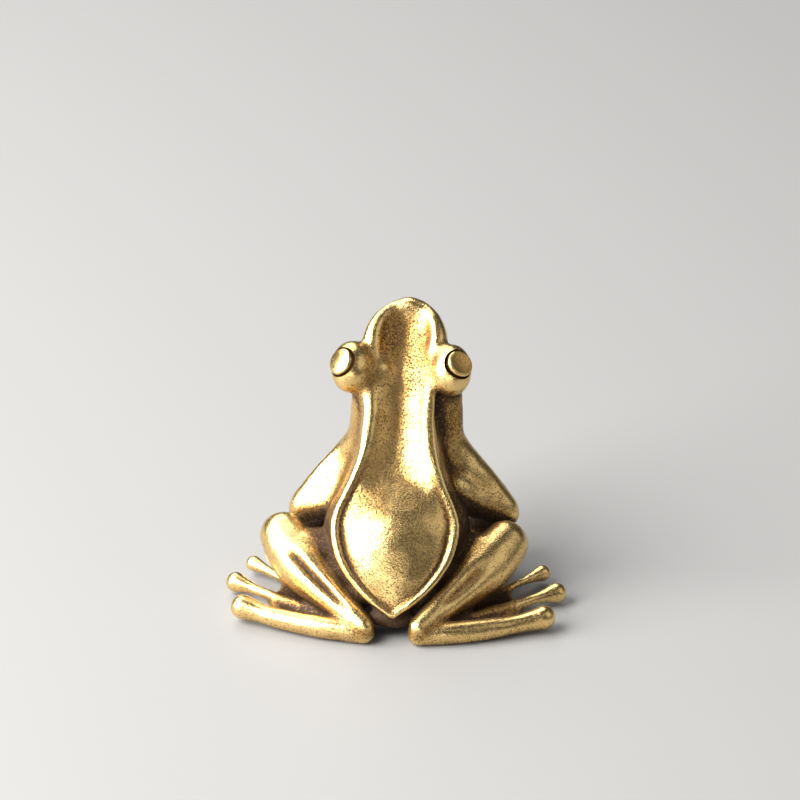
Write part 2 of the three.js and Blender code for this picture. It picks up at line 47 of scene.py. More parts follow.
def eased(stations):  # a smooth run through (share, value) stations
    shares = np.array([share for share, _ in stations], float)
    values = np.array([value for _, value in stations], float)
    tall = (-1,) + (1,) * (values.ndim - 1)
    spans = np.diff(shares)
    rises = np.diff(values, axis=0) / spans.reshape(tall)
    slopes = np.zeros_like(values)
    slopes[1:-1] = (values[2:] - values[:-2]) / (shares[2:] - shares[:-2]).reshape(tall)
    slopes[0] = 1.5 * rises[0] - 0.5 * slopes[1] if len(shares) > 2 else rises[0]
    slopes[-1] = 1.5 * rises[-1] - 0.5 * slopes[-2] if len(shares) > 2 else rises[0]

    def run(share):
        i = int(np.clip(np.searchsorted(shares, share, "right") - 1, 0, len(spans) - 1))
        t = (share - shares[i]) / spans[i]
        keep = (1 + 2 * t) * (1 - t) ** 2
        leave = t * (1 - t) ** 2 * spans[i]
        arrive = t * t * (t - 1) * spans[i]
        return (keep * values[i] + (1 - keep) * values[i + 1]
                + leave * slopes[i] + arrive * slopes[i + 1])

    return run


def smooth(values, low, high):
    t = np.clip((values - low) / (high - low), 0, 1)
    return t * t * (3 - 2 * t)


def fade(away, width):  # 1 on the spot, falling off round it
    return np.exp(-((away / width) ** 2))


def treeOf(spots):
    tree = KDTree(len(spots))
    for i, spot in enumerate(spots):
        tree.insert(spot, i)
    tree.balance()
    return tree


def lineThrough(points):  # a smooth line, by share of its length
    steps = [0.0] + [(b - a).length for a, b in zip(points, points[1:])]
    shares = np.cumsum(steps) / sum(steps)
    run = eased(list(zip(shares, points)))
    return lambda share: Vector(run(share))


def closedRun(corners, samples):  # a smooth closed outline through a section's corners
    start = np.array(corners, float)
    before, end, after = (np.roll(start, -step, axis=0) for step in (-1, 1, 2))
    d0, d1, d2 = (np.sqrt(np.linalg.norm(b - a, axis=1))[:, None]
                  for a, b in ((before, start), (start, end), (end, after)))
    leave = d1 * ((start - before) / d0 - (end - before) / (d0 + d1) + (end - start) / d1)
    arrive = d1 * ((end - start) / d1 - (after - start) / (d1 + d2) + (after - end) / d2)
    t = (np.arange(samples) / samples)[None, :, None]
    keep = (1 + 2 * t) * (1 - t) ** 2
    run = (keep * start[:, None] + (1 - keep) * end[:, None]
           + t * (1 - t) ** 2 * leave[:, None] + t * t * (t - 1) * arrive[:, None])
    return run.reshape(-1, 2)


def loft(bm, rings, firstTip, lastTip):  # a skin drawn from ring to ring, closed at two tips
    def nextLoop(loop, edges, spots):
        order = {vert: i for i, vert in enumerate(loop)}
        made = bmesh.ops.extrude_edge_only(bm, edges=edges)["geom"]
        new = [None] * len(loop)
        for vert in (g for g in made if isinstance(g, bmesh.types.BMVert)):
            root = next(e.other_vert(vert) for e in vert.link_edges if e.other_vert(vert) in order)
            new[order[root]] = vert
        for vert, spot in zip(new, spots):
            vert.co = spot
        fresh = set(new)
        return new, [g for g in made if isinstance(g, bmesh.types.BMEdge) and set(g.verts) <= fresh]

    first = bmesh.ops.create_circle(bm, segments=len(rings[0]), radius=1)["verts"]
    for vert, spot in zip(first, rings[0]):
        vert.co = spot
    firstEdges = list({edge for vert in first for edge in vert.link_edges})
    loop, edges = first, firstEdges
    for ring in rings[1:]:
        loop, edges = nextLoop(loop, edges, ring)
    for lastLoop, lastEdges, tip in ((loop, edges, lastTip), (first, firstEdges, firstTip)):
        cap, _ = nextLoop(lastLoop, lastEdges, [tip] * len(lastLoop))
        bmesh.ops.pointmerge(bm, verts=cap, merge_co=tip)


def limbFrame(line, face, share):
    ahead = (line(min(share + 0.01, 1)) - line(max(share - 0.01, 0))).normalized()
    across = (face - ahead * face.dot(ahead)).normalized()
    return ahead, across, ahead.cross(across)


def limb(bm, line, width, thickness, face, groove=None, steps=48, around=40, caps=9):
    # a rounded limb along a line, with round ends and a groove on its upper side
    def ring(share, lean):
        ahead, across, out = limbFrame(line, face, share)
        wide, thick = float(width(share)), float(thickness(share))
        centre = line(share) + ahead * (min(wide, thick) * math.sin(lean))
        spots = []
        for j in range(around):
            turn = 2 * math.pi * j / around
            cut = groove(share, turn - math.pi / 2) if groove else 0
            spots.append(centre + across * (math.cos(turn) * wide * math.cos(lean))
                         + out * ((math.sin(turn) * thick - cut) * math.cos(lean)))
        return spots

    leans = [i * math.pi / 2 / (caps + 1) for i in range(1, caps + 1)]
    rings = [ring(0, -lean) for lean in reversed(leans)]
    rings += [ring(i / steps, 0) for i in range(steps + 1)]
    rings += [ring(1, lean) for lean in leans]
    firstTip = line(0) - limbFrame(line, face, 0)[0] * min(width(0), thickness(0))
    lastTip = line(1) + limbFrame(line, face, 1)[0] * min(width(1), thickness(1))
    loft(bm, rings, firstTip, lastTip)


def cutAtFloor(bm):
    bmesh.ops.bisect_plane(bm, geom=bm.verts[:] + bm.edges[:] + bm.faces[:], plane_co=(0, 0, 0),
                           plane_no=(0, 0, -1), clear_outer=True)
    bmesh.ops.holes_fill(bm, edges=[e for e in bm.edges if e.is_boundary])


def finishPart(bm, side=1):  # mirrored for the left, moved to the frog's middle, facing out
    bmesh.ops.scale(bm, vec=(side, 1, 1), verts=bm.verts)
    bmesh.ops.translate(bm, vec=frogShift, verts=bm.verts)
    bmesh.ops.recalc_face_normals(bm, faces=bm.faces)
    bm.normal_update()
    return bm


def swell(centre, half, segments=(32, 20), turn=None):  # a rounded swelling of three half sizes
    bm = bmesh.new()
    bmesh.ops.create_uvsphere(bm, u_segments=segments[0], v_segments=segments[1], radius=1)
    bmesh.ops.scale(bm, vec=half, verts=bm.verts)
    if turn is not None:
        bmesh.ops.rotate(bm, cent=(0, 0, 0), matrix=turn, verts=bm.verts)
    bmesh.ops.translate(bm, vec=centre, verts=bm.verts)
    return finishPart(bm)


# Trunk and head, by share of the way from rump to snout
trunkShape = {
    "backLength": 22.8, "backTilt": 54, "headLength": 7.3, "headTilt": 42,
    "rump": Vector((0, -11.1, 2.2)), "rumpDrop": 0.8, "snoutDrop": 1.0,
    "rumpRound": 0.03, "snoutRound": 0.175,
    "dome": [(0.4, 0.85, 0.1), (0.72, 0.52, 0.25), (0.93, 0.21, 0.22)],  # out, height, more at the snout
    "arch": (0.9, 0.97),  # where the snout's edge broadens
    "ridge": [(0, 0), (0.03, 1.07), (0.1, 3.01), (0.17, 4.44), (0.25, 5.15), (0.31, 5.1),
              (0.41, 3.85), (0.49, 2.98), (0.6, 2.45), (0.68, 2.55), (0.76, 2.7), (0.85, 2.85), (0.93, 2.7),
              (1, 2.05)],
    "crown": [(0, 0), (0.06, 0.3), (0.14, 1.05), (0.22, 1.4), (0.3, 1.25), (0.37, 0.3),
              (0.43, -0.5), (0.6, -1.1), (0.71, -0.98), (0.77, -0.95), (0.85, -1.28), (0.9, -1.1),
              (0.94, -0.25), (0.968, 0.42), (1, 0.95)],
    "groove": [(0, 0.1), (0.08, 0.16), (0.32, 0.16), (0.45, 0.06), (0.6, 0), (1, 0)],
    # half the width of the fold, and the reach of its inner slope
    "fold": [(0, 0.6), (0.15, 0.58), (0.45, 0.6), (0.6, 0.7), (0.7, 0.7), (0.8, 0.85), (1, 0.85)],
    "reach": [(0, 0.9), (0.4, 0.9), (0.52, 0.6), (0.72, 0.5), (0.8, 0.75), (1, 0.85)],
    "rise": [(0, 0.3), (0.15, 0.28), (0.4, 0.24), (0.5, 0.16), (0.58, 0.1), (0.66, 0.05), (0.71, 0.0),
             (0.78, 0.0), (0.84, 0.28), (0.93, 0.22), (1, -0.3)],
    "tuck": [(0, 0.3), (0.56, 0.3), (0.66, 0.2), (0.74, 0.9), (0.8, 1.15), (1, 1.15)],  # fold to flank
    # how far the fold runs into the arm on each side, and how flat it lies on the right
    "blendLeft": [(0, 0), (0.42, 0), (0.52, 0.5), (0.64, 0.75), (0.7, 1), (0.76, 0), (1, 0)],
    "blendRight": [(0, 0), (0.4, 0), (0.48, 0.5), (0.6, 0.5), (0.68, 0), (1, 0)],
    "calmRight": [(0, 0), (0.1, 0), (0.2, 0.35), (0.32, 0.7), (0.6, 0.7), (0.72, 0), (1, 0)],
    "depth": [(0, 2.3), (0.1, 5.9), (0.22, 8.9), (0.36, 10.0), (0.5, 8.5), (0.62, 6.5),
              (0.76, 5.5), (0.88, 4.6), (1, 4.6)],
    "flank": [(0, 0.8), (0.1, 3.39), (0.2, 5.5), (0.28, 6.5), (0.35, 6.2), (0.42, 5.1), (0.52, 4.1),
              (0.62, 3.6), (0.74, 3.5), (0.84, 3.8), (1, 3.34)],
    "lean": [(0, 0), (0.6, 0), (0.8, 0.14), (1, 0.42)],  # the head set a little to the right
    "tail": (0.018, 0.12),  # how far the tail end is drawn up, and where that stops
    "rings": 110, "samples": 6, "crowding": 0.6,
}

sideways = Vector((1, 0, 0))
upward = Vector((0, 0, 1))


def slope(degrees):
    return Vector((0, math.cos(math.radians(degrees)), math.sin(math.radians(degrees))))


eyeLine = trunkShape["rump"] + slope(trunkShape["backTilt"]) * trunkShape["backLength"]
snoutTip = eyeLine + slope(trunkShape["headTilt"]) * trunkShape["headLength"]
backLine = lineThrough([trunkShape["rump"], trunkShape["rump"].lerp(eyeLine, 0.33),
                        trunkShape["rump"].lerp(eyeLine, 0.7), eyeLine, snoutTip])
eyeShare = trunkShape["backLength"] / (trunkShape["backLength"] + trunkShape["headLength"])


def backFrame(share):
    ahead = (backLine(min(share + 0.005, 1)) - backLine(max(share - 0.005, 0))).normalized()
    return backLine(share), ahead, sideways.cross(ahead)


trunkRuns = [eased(trunkShape[name]) for name in
             ("ridge", "crown", "groove", "fold", "reach", "rise", "tuck", "depth", "flank",
              "blendLeft", "blendRight", "calmRight")]
trunkLean = eased(trunkShape["lean"])


def endRound(share):  # how far the rump and the snout draw in and dip as they close
    rump = max(0, 1 - share / trunkShape["rumpRound"])
    snout = max(0, 1 - (1 - share) / trunkShape["snoutRound"])
    size = math.sqrt(1 - max(rump, snout) ** 2)
    return size, (trunkShape["rumpDrop"] if share < 0.5 else trunkShape["snoutDrop"]) * (1 - size)


def trunkSection(share):
    ridge, crown, groove, fold, reach, rise, tuck, depth, flank, blendLeft, blendRight, calmRight = (
        float(run(share)) for run in trunkRuns)
    inner = ridge ** 2 / (ridge + reach * fold)
    arch = float(smooth(share, *trunkShape["arch"]))

    def halfSection(merge, calm):
        lip = rise * (1 - calm)
        under = (ridge + (tuck + (1.9 - tuck) * merge) * fold, (0.9 * merge - 1.6) * fold)
        dome = [(out * inner, (high + more * arch) * crown) for out, high, more in trunkShape["dome"]]
        return [(0, crown), *dome, (inner, -groove * (1 - calm)), (ridge - 0.2 * fold, 0.9 * lip),
                (ridge + 0.35 * fold, 0.85 * lip), (ridge + fold, -0.1 * fold), under,
                (0.96 * flank, -0.34 * depth), (flank, -0.56 * depth), (0.74 * flank, -0.86 * depth),
                (0, -depth)]

    left = halfSection(blendLeft, 0)
    whole = halfSection(blendRight, calmRight) + [(-x, z) for x, z in left[-2:0:-1]]
    size, drop = endRound(share)
    return closedRun(whole, trunkShape["samples"]) * size - (0, drop)


def onBack(share, x, z):
    at, _, dorsal = backFrame(share)
    return at + sideways * x + dorsal * z


def lifted(share):  # the tail end of the shield sits a little up the rump
    lift, end = trunkShape["tail"]
    return share + lift * max(0, 1 - share / end) ** 2


def makeTrunk():
    bm = bmesh.new()
    rings = []
    count, crowding = trunkShape["rings"], trunkShape["crowding"]
    for i in range(1, count):
        even = i / count
        share = even - crowding * math.sin(2 * math.pi * even) / (2 * math.pi)
        lean = float(trunkLean(share))
        rings.append([onBack(lifted(share), x + lean, z) for x, z in trunkSection(share)])
    firstTip = onBack(lifted(0), 0, -trunkShape["rumpDrop"])
    lastTip = onBack(1, float(trunkLean(1)), -trunkShape["snoutDrop"])
    loft(bm, rings, firstTip, lastTip)
    return finishPart(bm)


# Rump: a low swell under the tail end of the shield
rumpShape = {"centre": Vector((-0.1, -9.55, 1.75)), "half": (2.1, 1.1, 0.95)}

# Tail end: the two beads of the shield run together in a point
tailShape = {"tip": 0.014, "start": 0.035, "end": 0.15, "radius": [(0, 0.3), (0.5, 0.28), (1, 0.08)],
             "sink": 0.14}


def makeTail():
    bm = bmesh.new()
    ridgeRun, foldRun, riseRun = (eased(trunkShape[name]) for name in ("ridge", "fold", "rise"))
    radius = eased(tailShape["radius"])
    for side in sides.values():
        spots = [onBack(tailShape["tip"], 0, 0)]
        for share in np.linspace(tailShape["start"], tailShape["end"], 6):
            across = float(ridgeRun(share)) + 0.1 * float(foldRun(share))
            height = 0.9 * float(riseRun(share)) - tailShape["sink"]
            spots.append(onBack(lifted(share), side * across, height))
        limb(bm, lineThrough(spots), radius, radius, upward, steps=40, around=24, caps=6)
    return finishPart(bm)


# Mouth: a fine line pressed in round the snout
mouthShape = {"corner": 0.79, "height": 0.42, "out": 0.98, "depth": 0.24, "reach": 0.22, "steps": 160}


def mouthTree():
    depthRun, flankRun = (eased(trunkShape[name]) for name in ("depth", "flank"))
    spots = []
    for share in np.linspace(mouthShape["corner"], 1, mouthShape["steps"]):
        size, drop = endRound(share)
        across = float(flankRun(share)) * mouthShape["out"] * size
        height = -float(depthRun(share)) * mouthShape["height"] * size - drop
        for side in sides.values():
            spots.append(onBack(share, side * across + float(trunkLean(share)), height) + frogShift)
    return treeOf(spots)


# Eyes: a lid that swells from the head, a ring gap and a button, dished on the right and domed on the left
eyeShape = {
    "lidRadius": 1.93, "lidLength": 2.4, "spread": 4.4, "sink": 0.7,
    "outward": {1: 33, -1: 40}, "forward": {1: 9, -1: 5}, "dish": {1: 0.08, -1: -0.16},
    "radius": 1.24, "stand": 0.3, "depth": 0.8, "rim": 0.22, "foot": 0.05, "bury": 0.1, "steps": 64,
    "gap": 0.16, "slip": 0.1, "slipDown": 0.6, "floorEdge": 0.1,
}
eyeAhead, eyeDorsal = backFrame(eyeShare)[1:]


def eyeCentre(side):
    return (eyeLine + sideways * side * eyeShape["spread"] - eyeDorsal * eyeShape["sink"])


def eyeAxis(side):
    out = math.radians(eyeShape["outward"][side])
    lean = eyeAhead * math.tan(math.radians(eyeShape["forward"][side]))
    return (eyeDorsal * math.cos(out) + sideways * side * math.sin(out) + lean).normalized()


def makeLid(side):
    wide, long = eyeShape["lidRadius"], eyeShape["lidLength"]
    turn = upward.rotation_difference(eyeAhead).to_matrix()
    return swell(eyeCentre(side), (wide, wide, long), (48, 32), turn)


# Brows: a low swell between each lid and the middle of the head
browShape = {"at": 0.755, "x": 1.95, "sink": {1: 1.4, -1: 0.95}, "radius": 1.1}


def makeBrow(side):
    spot = onBack(browShape["at"], side * browShape["x"], -browShape["sink"][side])
    return swell(spot, (browShape["radius"],) * 3)


eyeTop = math.sqrt(eyeShape["lidRadius"] ** 2 - eyeShape["radius"] ** 2) + eyeShape["stand"]


def turnedOnEye(profile, side, slip=0):  # spins (radius, height) points about the eye's axis
    bm = bmesh.new()
    line = [bm.verts.new((radius, 0, height)) for radius, height in profile]
    edges = [bm.edges.new(pair) for pair in zip(line, line[1:])]
    bmesh.ops.spin(bm, geom=line + edges, cent=(0, 0, 0), axis=(0, 0, 1), dvec=(0, 0, 0),
                   angle=2 * math.pi, steps=eyeShape["steps"], use_merge=True)
    bmesh.ops.remove_doubles(bm, verts=bm.verts, dist=1e-4)
    turn = upward.rotation_difference(eyeAxis(side)).to_matrix()
    bmesh.ops.rotate(bm, cent=(0, 0, 0), matrix=turn, verts=bm.verts)
    inward = (sideways * -side - eyeAhead * eyeShape["slipDown"]).normalized() * slip
    bmesh.ops.translate(bm, vec=eyeCentre(side) + inward, verts=bm.verts)
    return finishPart(bm)


def makeSocket(side):
    radius, floor = eyeShape["radius"] + eyeShape["gap"], eyeTop - eyeShape["depth"]
    lip, edge = eyeTop + eyeShape["lidRadius"], eyeShape["floorEdge"]
    return turnedOnEye([(0, floor), (radius - edge, floor), (radius, floor + edge), (radius, lip),
                        (0, lip)], side, eyeShape["slip"])


def makeEye(side):
    radius, dish, rim = eyeShape["radius"], eyeShape["dish"][side], eyeShape["rim"]
    seat, foot = eyeTop - eyeShape["depth"] - eyeShape["bury"], eyeShape["foot"]
    bend = [math.radians(step) for step in range(0, 121 if dish > 0 else 73, 12)]  # less if it is domed
    rounded = [(radius - rim + rim * math.cos(a), eyeTop - rim + rim * math.sin(a)) for a in bend]
    start, high = rounded[-1]
    bowl = [(start * share, high - dish * (1 - share ** 2)) for share in np.linspace(0.92, 0, 12)]
    return turnedOnEye([(0, seat), (radius - foot, seat), (radius, seat + foot)] + rounded + bowl, side)


# Forelegs: upper arm from the shoulder out to the elbow, forearm in to the hand
armShape = {
    "shoulderAt": 0.72, "shoulderSpread": 3.2, "shoulderSink": {1: 2.4, -1: 2.1}, "shift": 0.5,
    "elbow": {1: Vector((9.12, 2.4, 6.2)), -1: Vector((9.3, 2.4, 5.6))}, "wrist": Vector((5.4, 6.0, 1.7)),
    # share of the way out, by share of the drop
    "bend": {1: [(0.2, -0.02), (0.42, 0.0), (0.58, 0.226), (0.756, 0.583), (0.9, 0.856)],
             -1: [(0.19, -0.02), (0.4, 0.0), (0.553, 0.22), (0.72, 0.566), (0.858, 0.83)]},
    "facet": {"on": -1, "normal": Vector((0.47, -0.70, 0.535)).normalized(), "height": 1.15,
              "fade": (13.5, 11.5), "press": 0.85},  # worn flat on the left arm
    "radius": [(0, 1.8), (0.11, 2.0), (0.23, 2.1), (0.34, 1.92), (0.47, 1.66), (0.58, 1.46), (0.64, 1.4),
               (0.8, 1.7), (1, 0.95)],
    "breast": Vector((4.4, 1.0, 9.2)), "breastRadius": [(0, 1.4), (0.5, 1.65), (1, 1.9)],
    "palm": 1.3, "fingerAngles": (-62, -30, 4, 38), "fingerLength": 2.25,
    "finger": [(0, 0.42), (0.6, 0.42), (1, 0.6)], "face": Vector((0, 1, 0.4)).normalized(),
}


def armPoints(side):  # shoulder, points down the upper arm, elbow
    shoulder = onBack(armShape["shoulderAt"], armShape["shoulderSpread"], -armShape["shoulderSink"][side])
    elbow = armShape["elbow"][side]
    upper = [shoulder.lerp(elbow, drop) for drop, _ in armShape["bend"][side]]
    for spot, (_, out) in zip(upper, armShape["bend"][side]):
        spot.x = shoulder.x + out * (elbow.x - shoulder.x)
    return [shoulder, *upper, elbow]


def pressFacet(bm, side):
    facet = armShape["facet"]
    if side != facet["on"]:
        return
    middle = armPoints(side)[4] + facet["normal"] * facet["height"]
    for vert in bm.verts:
        over = (vert.co - middle).dot(facet["normal"])
        if over > 0:
            share = float(smooth(vert.co.z, *facet["fade"]))
            vert.co -= facet["normal"] * (over * facet["press"] * share)


def makeArm(side):
    bm = bmesh.new()
    upperArm = armPoints(side)
    elbow, wrist = upperArm[-1], armShape["wrist"]
    reach = Vector((wrist.x - elbow.x, wrist.y - elbow.y, 0)).normalized()
    tipRadius = armShape["finger"][-1][1]
    knuckles = wrist + reach * armShape["palm"]
    knuckles.z = tipRadius
    line = lineThrough([*upperArm, wrist, knuckles])
    radius = eased(armShape["radius"])
    limb(bm, line, radius, radius, armShape["face"], steps=70)
    finger = eased(armShape["finger"])
    for angle in armShape["fingerAngles"]:
        step = Vector((math.sin(math.radians(angle)), math.cos(math.radians(angle)), 0))
        tip = lineThrough([knuckles, knuckles + step * armShape["fingerLength"]])
        limb(bm, tip, finger, finger, upward, steps=16, around=20, caps=5)
    cutAtFloor(bm)
    pressFacet(bm, side)
    bmesh.ops.translate(bm, vec=sideways * (side * armShape["shift"]), verts=bm.verts)
    return finishPart(bm, side)


def makeBreast(side):  # the flesh that joins the elbow to the body
    bm = bmesh.new()
    radius = eased(armShape["breastRadius"])
    limb(bm, lineThrough([armShape["elbow"][side], armShape["breast"]]), radius, radius, upward, steps=16)
    pressFacet(bm, side)
    bmesh.ops.translate(bm, vec=sideways * (side * armShape["shift"]), verts=bm.verts)
    return finishPart(bm, side)


# Hind legs: thigh and shank folded together, a groove between them
legShape = {
    "knee": {1: Vector((9.75, -1.6, 5.2)), -1: Vector((10.3, -1.6, 5.35))},
    "ankle": Vector((2.4, -11.1, 1.6)), "bow": {1: 0.15, -1: 0.45},
    "width": [(0, 2.1), (0.12, 2.35), (0.28, 2.42), (0.45, 2.12), (0.63, 1.72), (0.78, 1.4), (1, 0.95)],
    "thickness": [(0, 2.05), (0.3, 2.2), (0.5, 1.95), (0.75, 1.4), (1, 0.95)],
    "groove": {1: [(0, 0), (0.3, 0), (0.46, 0.3), (0.68, 0.3), (0.84, 0), (1, 0)],
               -1: [(0, 0), (0.18, 0), (0.34, 0.55), (0.7, 0.55), (0.88, 0), (1, 0)]},
    "grooveAngle": {1: 13, -1: 8}, "grooveSink": 0.3, "grooveEnds": {1: (0.42, 0.76), -1: (0.26, 0.84)},
    "face": Vector((0.75, -0.31, -0.58)).normalized(),
    "haunchInset": 1.1, "haunchEnd": 3.4, "haunches": [(0.16, 2.2), (0.42, 1.8), (0.66, 1.2)],
}


def legLine(side):
    knee, ankle = legShape["knee"][side], legShape["ankle"]
    return lineThrough([knee, knee.lerp(ankle, 0.3) + legShape["face"] * legShape["bow"][side], ankle])


def legGroove(side):  # points along the groove, for its dirt
    line, thickness = legLine(side), eased(legShape["thickness"])
    spots = []
    for share in np.linspace(*legShape["grooveEnds"][side], 60):
        out = limbFrame(line, legShape["face"], share)[2]
        spot = line(share) + out * (float(thickness(share)) - legShape["grooveSink"])
        spots.append(Vector((side * spot.x, spot.y, spot.z)) + frogShift)
    return spots


def makeLeg(side):
    bm = bmesh.new()
    line = legLine(side)
    depth = eased(legShape["groove"][side])
    reach = math.radians(legShape["grooveAngle"][side])
    limb(bm, line, eased(legShape["width"]), eased(legShape["thickness"]), legShape["face"],
         groove=lambda share, turn: float(depth(share)) * math.exp(-(turn / reach) ** 2),
         steps=60, around=96, caps=14)
    for share, radius in legShape["haunches"]:
        root = line(share) - sideways * legShape["haunchInset"]
        end = Vector((min(legShape["haunchEnd"], root.x - 1), root.y, root.z))
        haunch = eased([(0, radius), (1, radius)])
        limb(bm, lineThrough([root, end]), haunch, haunch, upward, steps=6, around=32, caps=6)
    return finishPart(bm, side)


# Hind feet: three toes from the heel and a web between them
footShape = {
    "heel": Vector((2.4, -11.1, 0.95)), "webShare": 0.76, "webNotch": 0.04, "web": 1.0,
    "toes": [
        {"root": 0, "rootRadius": 1.0, "angle": 15.5, "curl": 8, "reach": 11.4, "width": 1.0, "tip": 1.12,
         "lift": 0.45},
        {"root": 0.15, "rootRadius": 0.7, "angle": 33.2, "curl": -3, "reach": 14.4, "width": 0.6,
         "tip": 0.95, "lift": 0.25},
        {"root": 0.15, "rootRadius": 0.6, "angle": 47.0, "curl": -6, "reach": 15.7, "width": 0.48,
         "tip": 0.8, "lift": 0.2},
    ],
}


def toePoint(toe, share, height):
    turn = math.radians(toe["angle"] + toe["curl"] * (share - 1))
    at = footShape["heel"] + Vector((math.cos(turn), math.sin(turn), 0)) * toe["reach"] * share
    at.z = height
    return at


def makeFoot(side):
    bm = bmesh.new()
    for toe in footShape["toes"]:
        shares = [toe["root"] + (1 - toe["root"]) * part for part in (0, 0.35, 0.7, 1)]
        heights = [footShape["heel"].z + toe["lift"] * share ** 3 for share in shares]
        line = lineThrough([toePoint(toe, share, height) for share, height in zip(shares, heights)])
        radius = eased([(0, toe["rootRadius"]), (0.4, toe["width"]), (0.82, 0.86 * toe["width"]),
                        (1, toe["tip"])])
        limb(bm, line, radius, radius, upward, steps=40, around=28, caps=7)
    edge = [toePoint(toe, footShape["webShare"], 0) for toe in footShape["toes"]]
    notches = [((a + b) / 2).lerp(footShape["heel"], footShape["webNotch"]) for a, b in zip(edge, edge[1:])]
    heel = footShape["heel"].copy()
    outline = [heel, edge[0], notches[0], edge[1], notches[1], edge[2]]
    web = bm.faces.new([bm.verts.new((spot.x, spot.y, 0)) for spot in outline])
    top = bmesh.ops.extrude_face_region(bm, geom=[web])["geom"]
    bmesh.ops.translate(bm, vec=(0, 0, footShape["web"]),
                        verts=[g for g in top if isinstance(g, bmesh.types.BMVert)])
    cutAtFloor(bm)
    return finishPart(bm, side)


parts = {"body": makeTrunk(), "rump": swell(rumpShape["centre"], rumpShape["half"]), "tail": makeTail()}
for sideName, side in sides.items():
    parts[sideName + "_lid"] = makeLid(side)
    parts[sideName + "_brow"] = makeBrow(side)
    parts[sideName + "_foreleg"] = makeArm(side)
    parts[sideName + "_breast"] = makeBreast(side)
    parts[sideName + "_hind_leg"] = makeLeg(side)
    parts[sideName + "_hind_foot"] = makeFoot(side)
print("blocked out", {name: len(bm.faces) for name, bm in parts.items()})


# The casting: all parts run together, eased where they meet
castShape = {
    "grid": 0.13, "relax": 7,
    "seams": [("left_lid", "body", 0.3, 8), ("right_lid", "body", 0.5, 20), ("left_brow", "body", 0.35, 10),
              ("right_brow", "body", 0.5, 20), ("left_breast", "left_foreleg", 0.8, 24),
              ("right_breast", "right_foreleg", 0.8, 24), ("left_foreleg", "body", 0.9, 50),
              ("left_breast", "body", 0.6, 20),
              ("right_foreleg", "body", 0.3, 8), ("left_hind_foot", "left_hind_leg", 0.25, 8),
              ("right_hind_foot", "right_hind_leg", 0.25, 8)],
    "snout": {"height": 0.3, "width": 1.6, "rounds": 26},  # its edge, worn smooth
    "dents": [(0.35, 0.06), (0.6, 0.03), (0.95, 0.022), (2.2, 0.006)],  # waves to the millimetre, height
}


def rounds(count):  # a finer grid takes more rounds for the same smoothing
    return round(count * (0.18 / castShape["grid"]) ** 2)


def meshOf(name, bm):
    mesh = bpy.data.meshes.new(name)
    bm.to_mesh(mesh)
    return mesh


def linked(name, mesh):
    piece = bpy.data.objects.new(name, mesh)
    bpy.context.scene.collection.objects.link(piece)
    return piece


def withModifiers(piece):  # the mesh as its modifiers leave it
    ready = piece.evaluated_get(bpy.context.evaluated_depsgraph_get())
    return bpy.data.meshes.new_from_object(ready)


def vertexArray(mesh):
    flat = np.empty(len(mesh.vertices) * 3)
    mesh.vertices.foreach_get("co", flat)
    return flat.reshape(-1, 3)


def normalArray(mesh):
    flat = np.empty(len(mesh.vertices) * 3, np.float32)
    mesh.vertex_normals.foreach_get("vector", flat)
    return flat.reshape(-1, 3).astype(float)


def neighbourMean(mesh):  # a function that gives each vertex the mean of its neighbours
    flat = np.empty(len(mesh.edges) * 2, np.int32)
    mesh.edges.foreach_get("vertices", flat)
    a, b = flat.reshape(-1, 2).T
    count = len(mesh.vertices)
    degree = np.maximum(np.bincount(a, minlength=count) + np.bincount(b, minlength=count), 1)

    def mean(values):
        if values.ndim > 1:
            return np.stack([mean(column) for column in values.T], axis=1)
        near = np.bincount(a, weights=values[b], minlength=count)
        return (near + np.bincount(b, weights=values[a], minlength=count)) / degree

    return mean


def distanceTo(bm, points):
    tree = BVHTree.FromBMesh(bm)
    return np.array([tree.find_nearest(Vector(spot))[3] for spot in points])


def castTogether():
    whole = bmesh.new()
    for bm in parts.values():
        block = meshOf("block", bm)
        whole.from_mesh(block)
        bpy.data.meshes.remove(block)
    rough = linked("rough", meshOf("rough", whole))
    remesh = rough.modifiers.new("grid", "REMESH")
    remesh.mode = "VOXEL"
    remesh.voxel_size = castShape["grid"]
    mesh = withModifiers(rough)
    bpy.data.objects.remove(rough)
    mean = neighbourMean(mesh)
    points = vertexArray(mesh)

    def ease(share, count):
        for _ in range(rounds(count)):
            points[:] += 0.5 * share * (mean(points) - points)

    ease(1, castShape["relax"])
    reach = {name: distanceTo(bm, points) for name, bm in parts.items()}
    for first, second, width, count in castShape["seams"]:
        ease(fade(np.maximum(reach[first], reach[second]), width)[:, None], count)
    snout = castShape["snout"]
    edge = onBack(1, float(trunkLean(1)), snout["height"]) + frogShift
    ease(fade(np.linalg.norm(points - np.array(edge), axis=1), snout["width"])[:, None], snout["rounds"])
    mesh.vertices.foreach_set("co", points.ravel())
    mesh.update()
    normals = normalArray(mesh)
    mouth = mouthTree()
    away = np.array([mouth.find(Vector(spot))[2] for spot in points])
    points -= normals * (mouthShape["depth"] * fade(away, mouthShape["reach"]))[:, None]
    for waves, height in castShape["dents"]:
        lift = np.array([noise.noise(Vector(spot) * waves) for spot in points])
        points += normals * (height * lift)[:, None]
    points[:, 2] = np.maximum(points[:, 2], 0)
    mesh.vertices.foreach_set("co", points.ravel())
    mesh.update()
    return mesh


castMesh = castTogether()
print("cast", len(castMesh.vertices), "points")


def cutSockets(mesh):
    cast = linked("cast", mesh)
    cutters = []
    for side in sides.values():
        cutter = linked("socket", meshOf("socket", makeSocket(side)))
        cut = cast.modifiers.new("socket", "BOOLEAN")
        cut.operation = "DIFFERENCE"
        cut.solver = "EXACT"
        cut.object = cutter
        cutters.append(cutter)
    done = withModifiers(cast)
    for spare in cutters + [cast]:
        bpy.data.objects.remove(spare)
    return done


